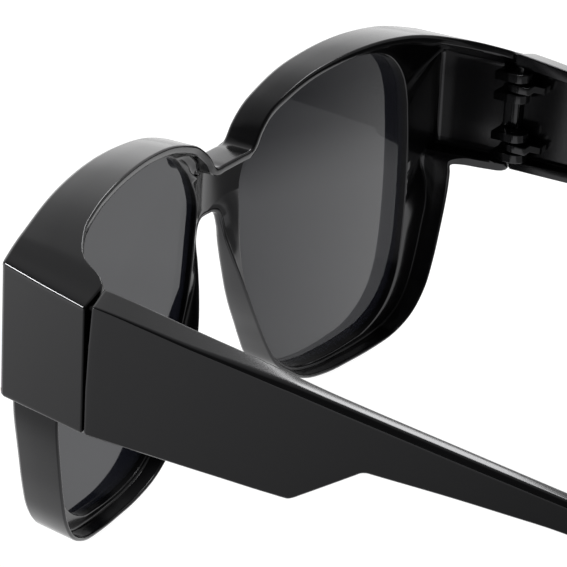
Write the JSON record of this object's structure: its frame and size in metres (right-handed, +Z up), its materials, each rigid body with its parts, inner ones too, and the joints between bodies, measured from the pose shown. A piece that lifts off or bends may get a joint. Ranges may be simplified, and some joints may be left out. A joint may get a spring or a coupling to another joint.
{
  "type": "folding wear-over sunglasses",
  "caption": "Wear-over sunglasses: moulded front with deep rims and brow shelf, two tinted lenses, and temples that fold on screwed hinges.",
  "frame": {"origin": "middle of the bounding box's bottom face with the temples open, under the lowest edge of the rims", "axes": "+X to the wearer's left, +Y back along the open temples, +Z up"},
  "size_m": [0.15, 0.1629, 0.0629],
  "materials": {
    "frame_plastic": "polished black moulding",
    "lens_tint": "grey tinted, clear gloss",
    "screw_steel": "plain turned steel"
  },
  "bodies": {
    "front": {"front_frame": "frame_plastic", "lens_left": "lens_tint", "lens_right": "lens_tint", "screw_upper_left": "screw_steel", "screw_lower_left": "screw_steel", "screw_upper_right": "screw_steel", "screw_lower_right": "screw_steel"},
    "left_temple": {"temple_left": "frame_plastic"},
    "right_temple": {"temple_right": "frame_plastic"}
  },
  "joints": [
    {"name": "left_temple_fold", "type": "hinge", "parent": "front", "child": "left_temple", "pos_m": [0.07, -0.0551, 0.044], "axis": [0, 0, 1], "range_deg": [0, 93]},
    {"name": "right_temple_fold", "type": "hinge", "parent": "front", "child": "right_temple", "pos_m": [-0.07, -0.0551, 0.044], "axis": [0, 0, -1], "range_deg": [0, 87]}
  ]
}
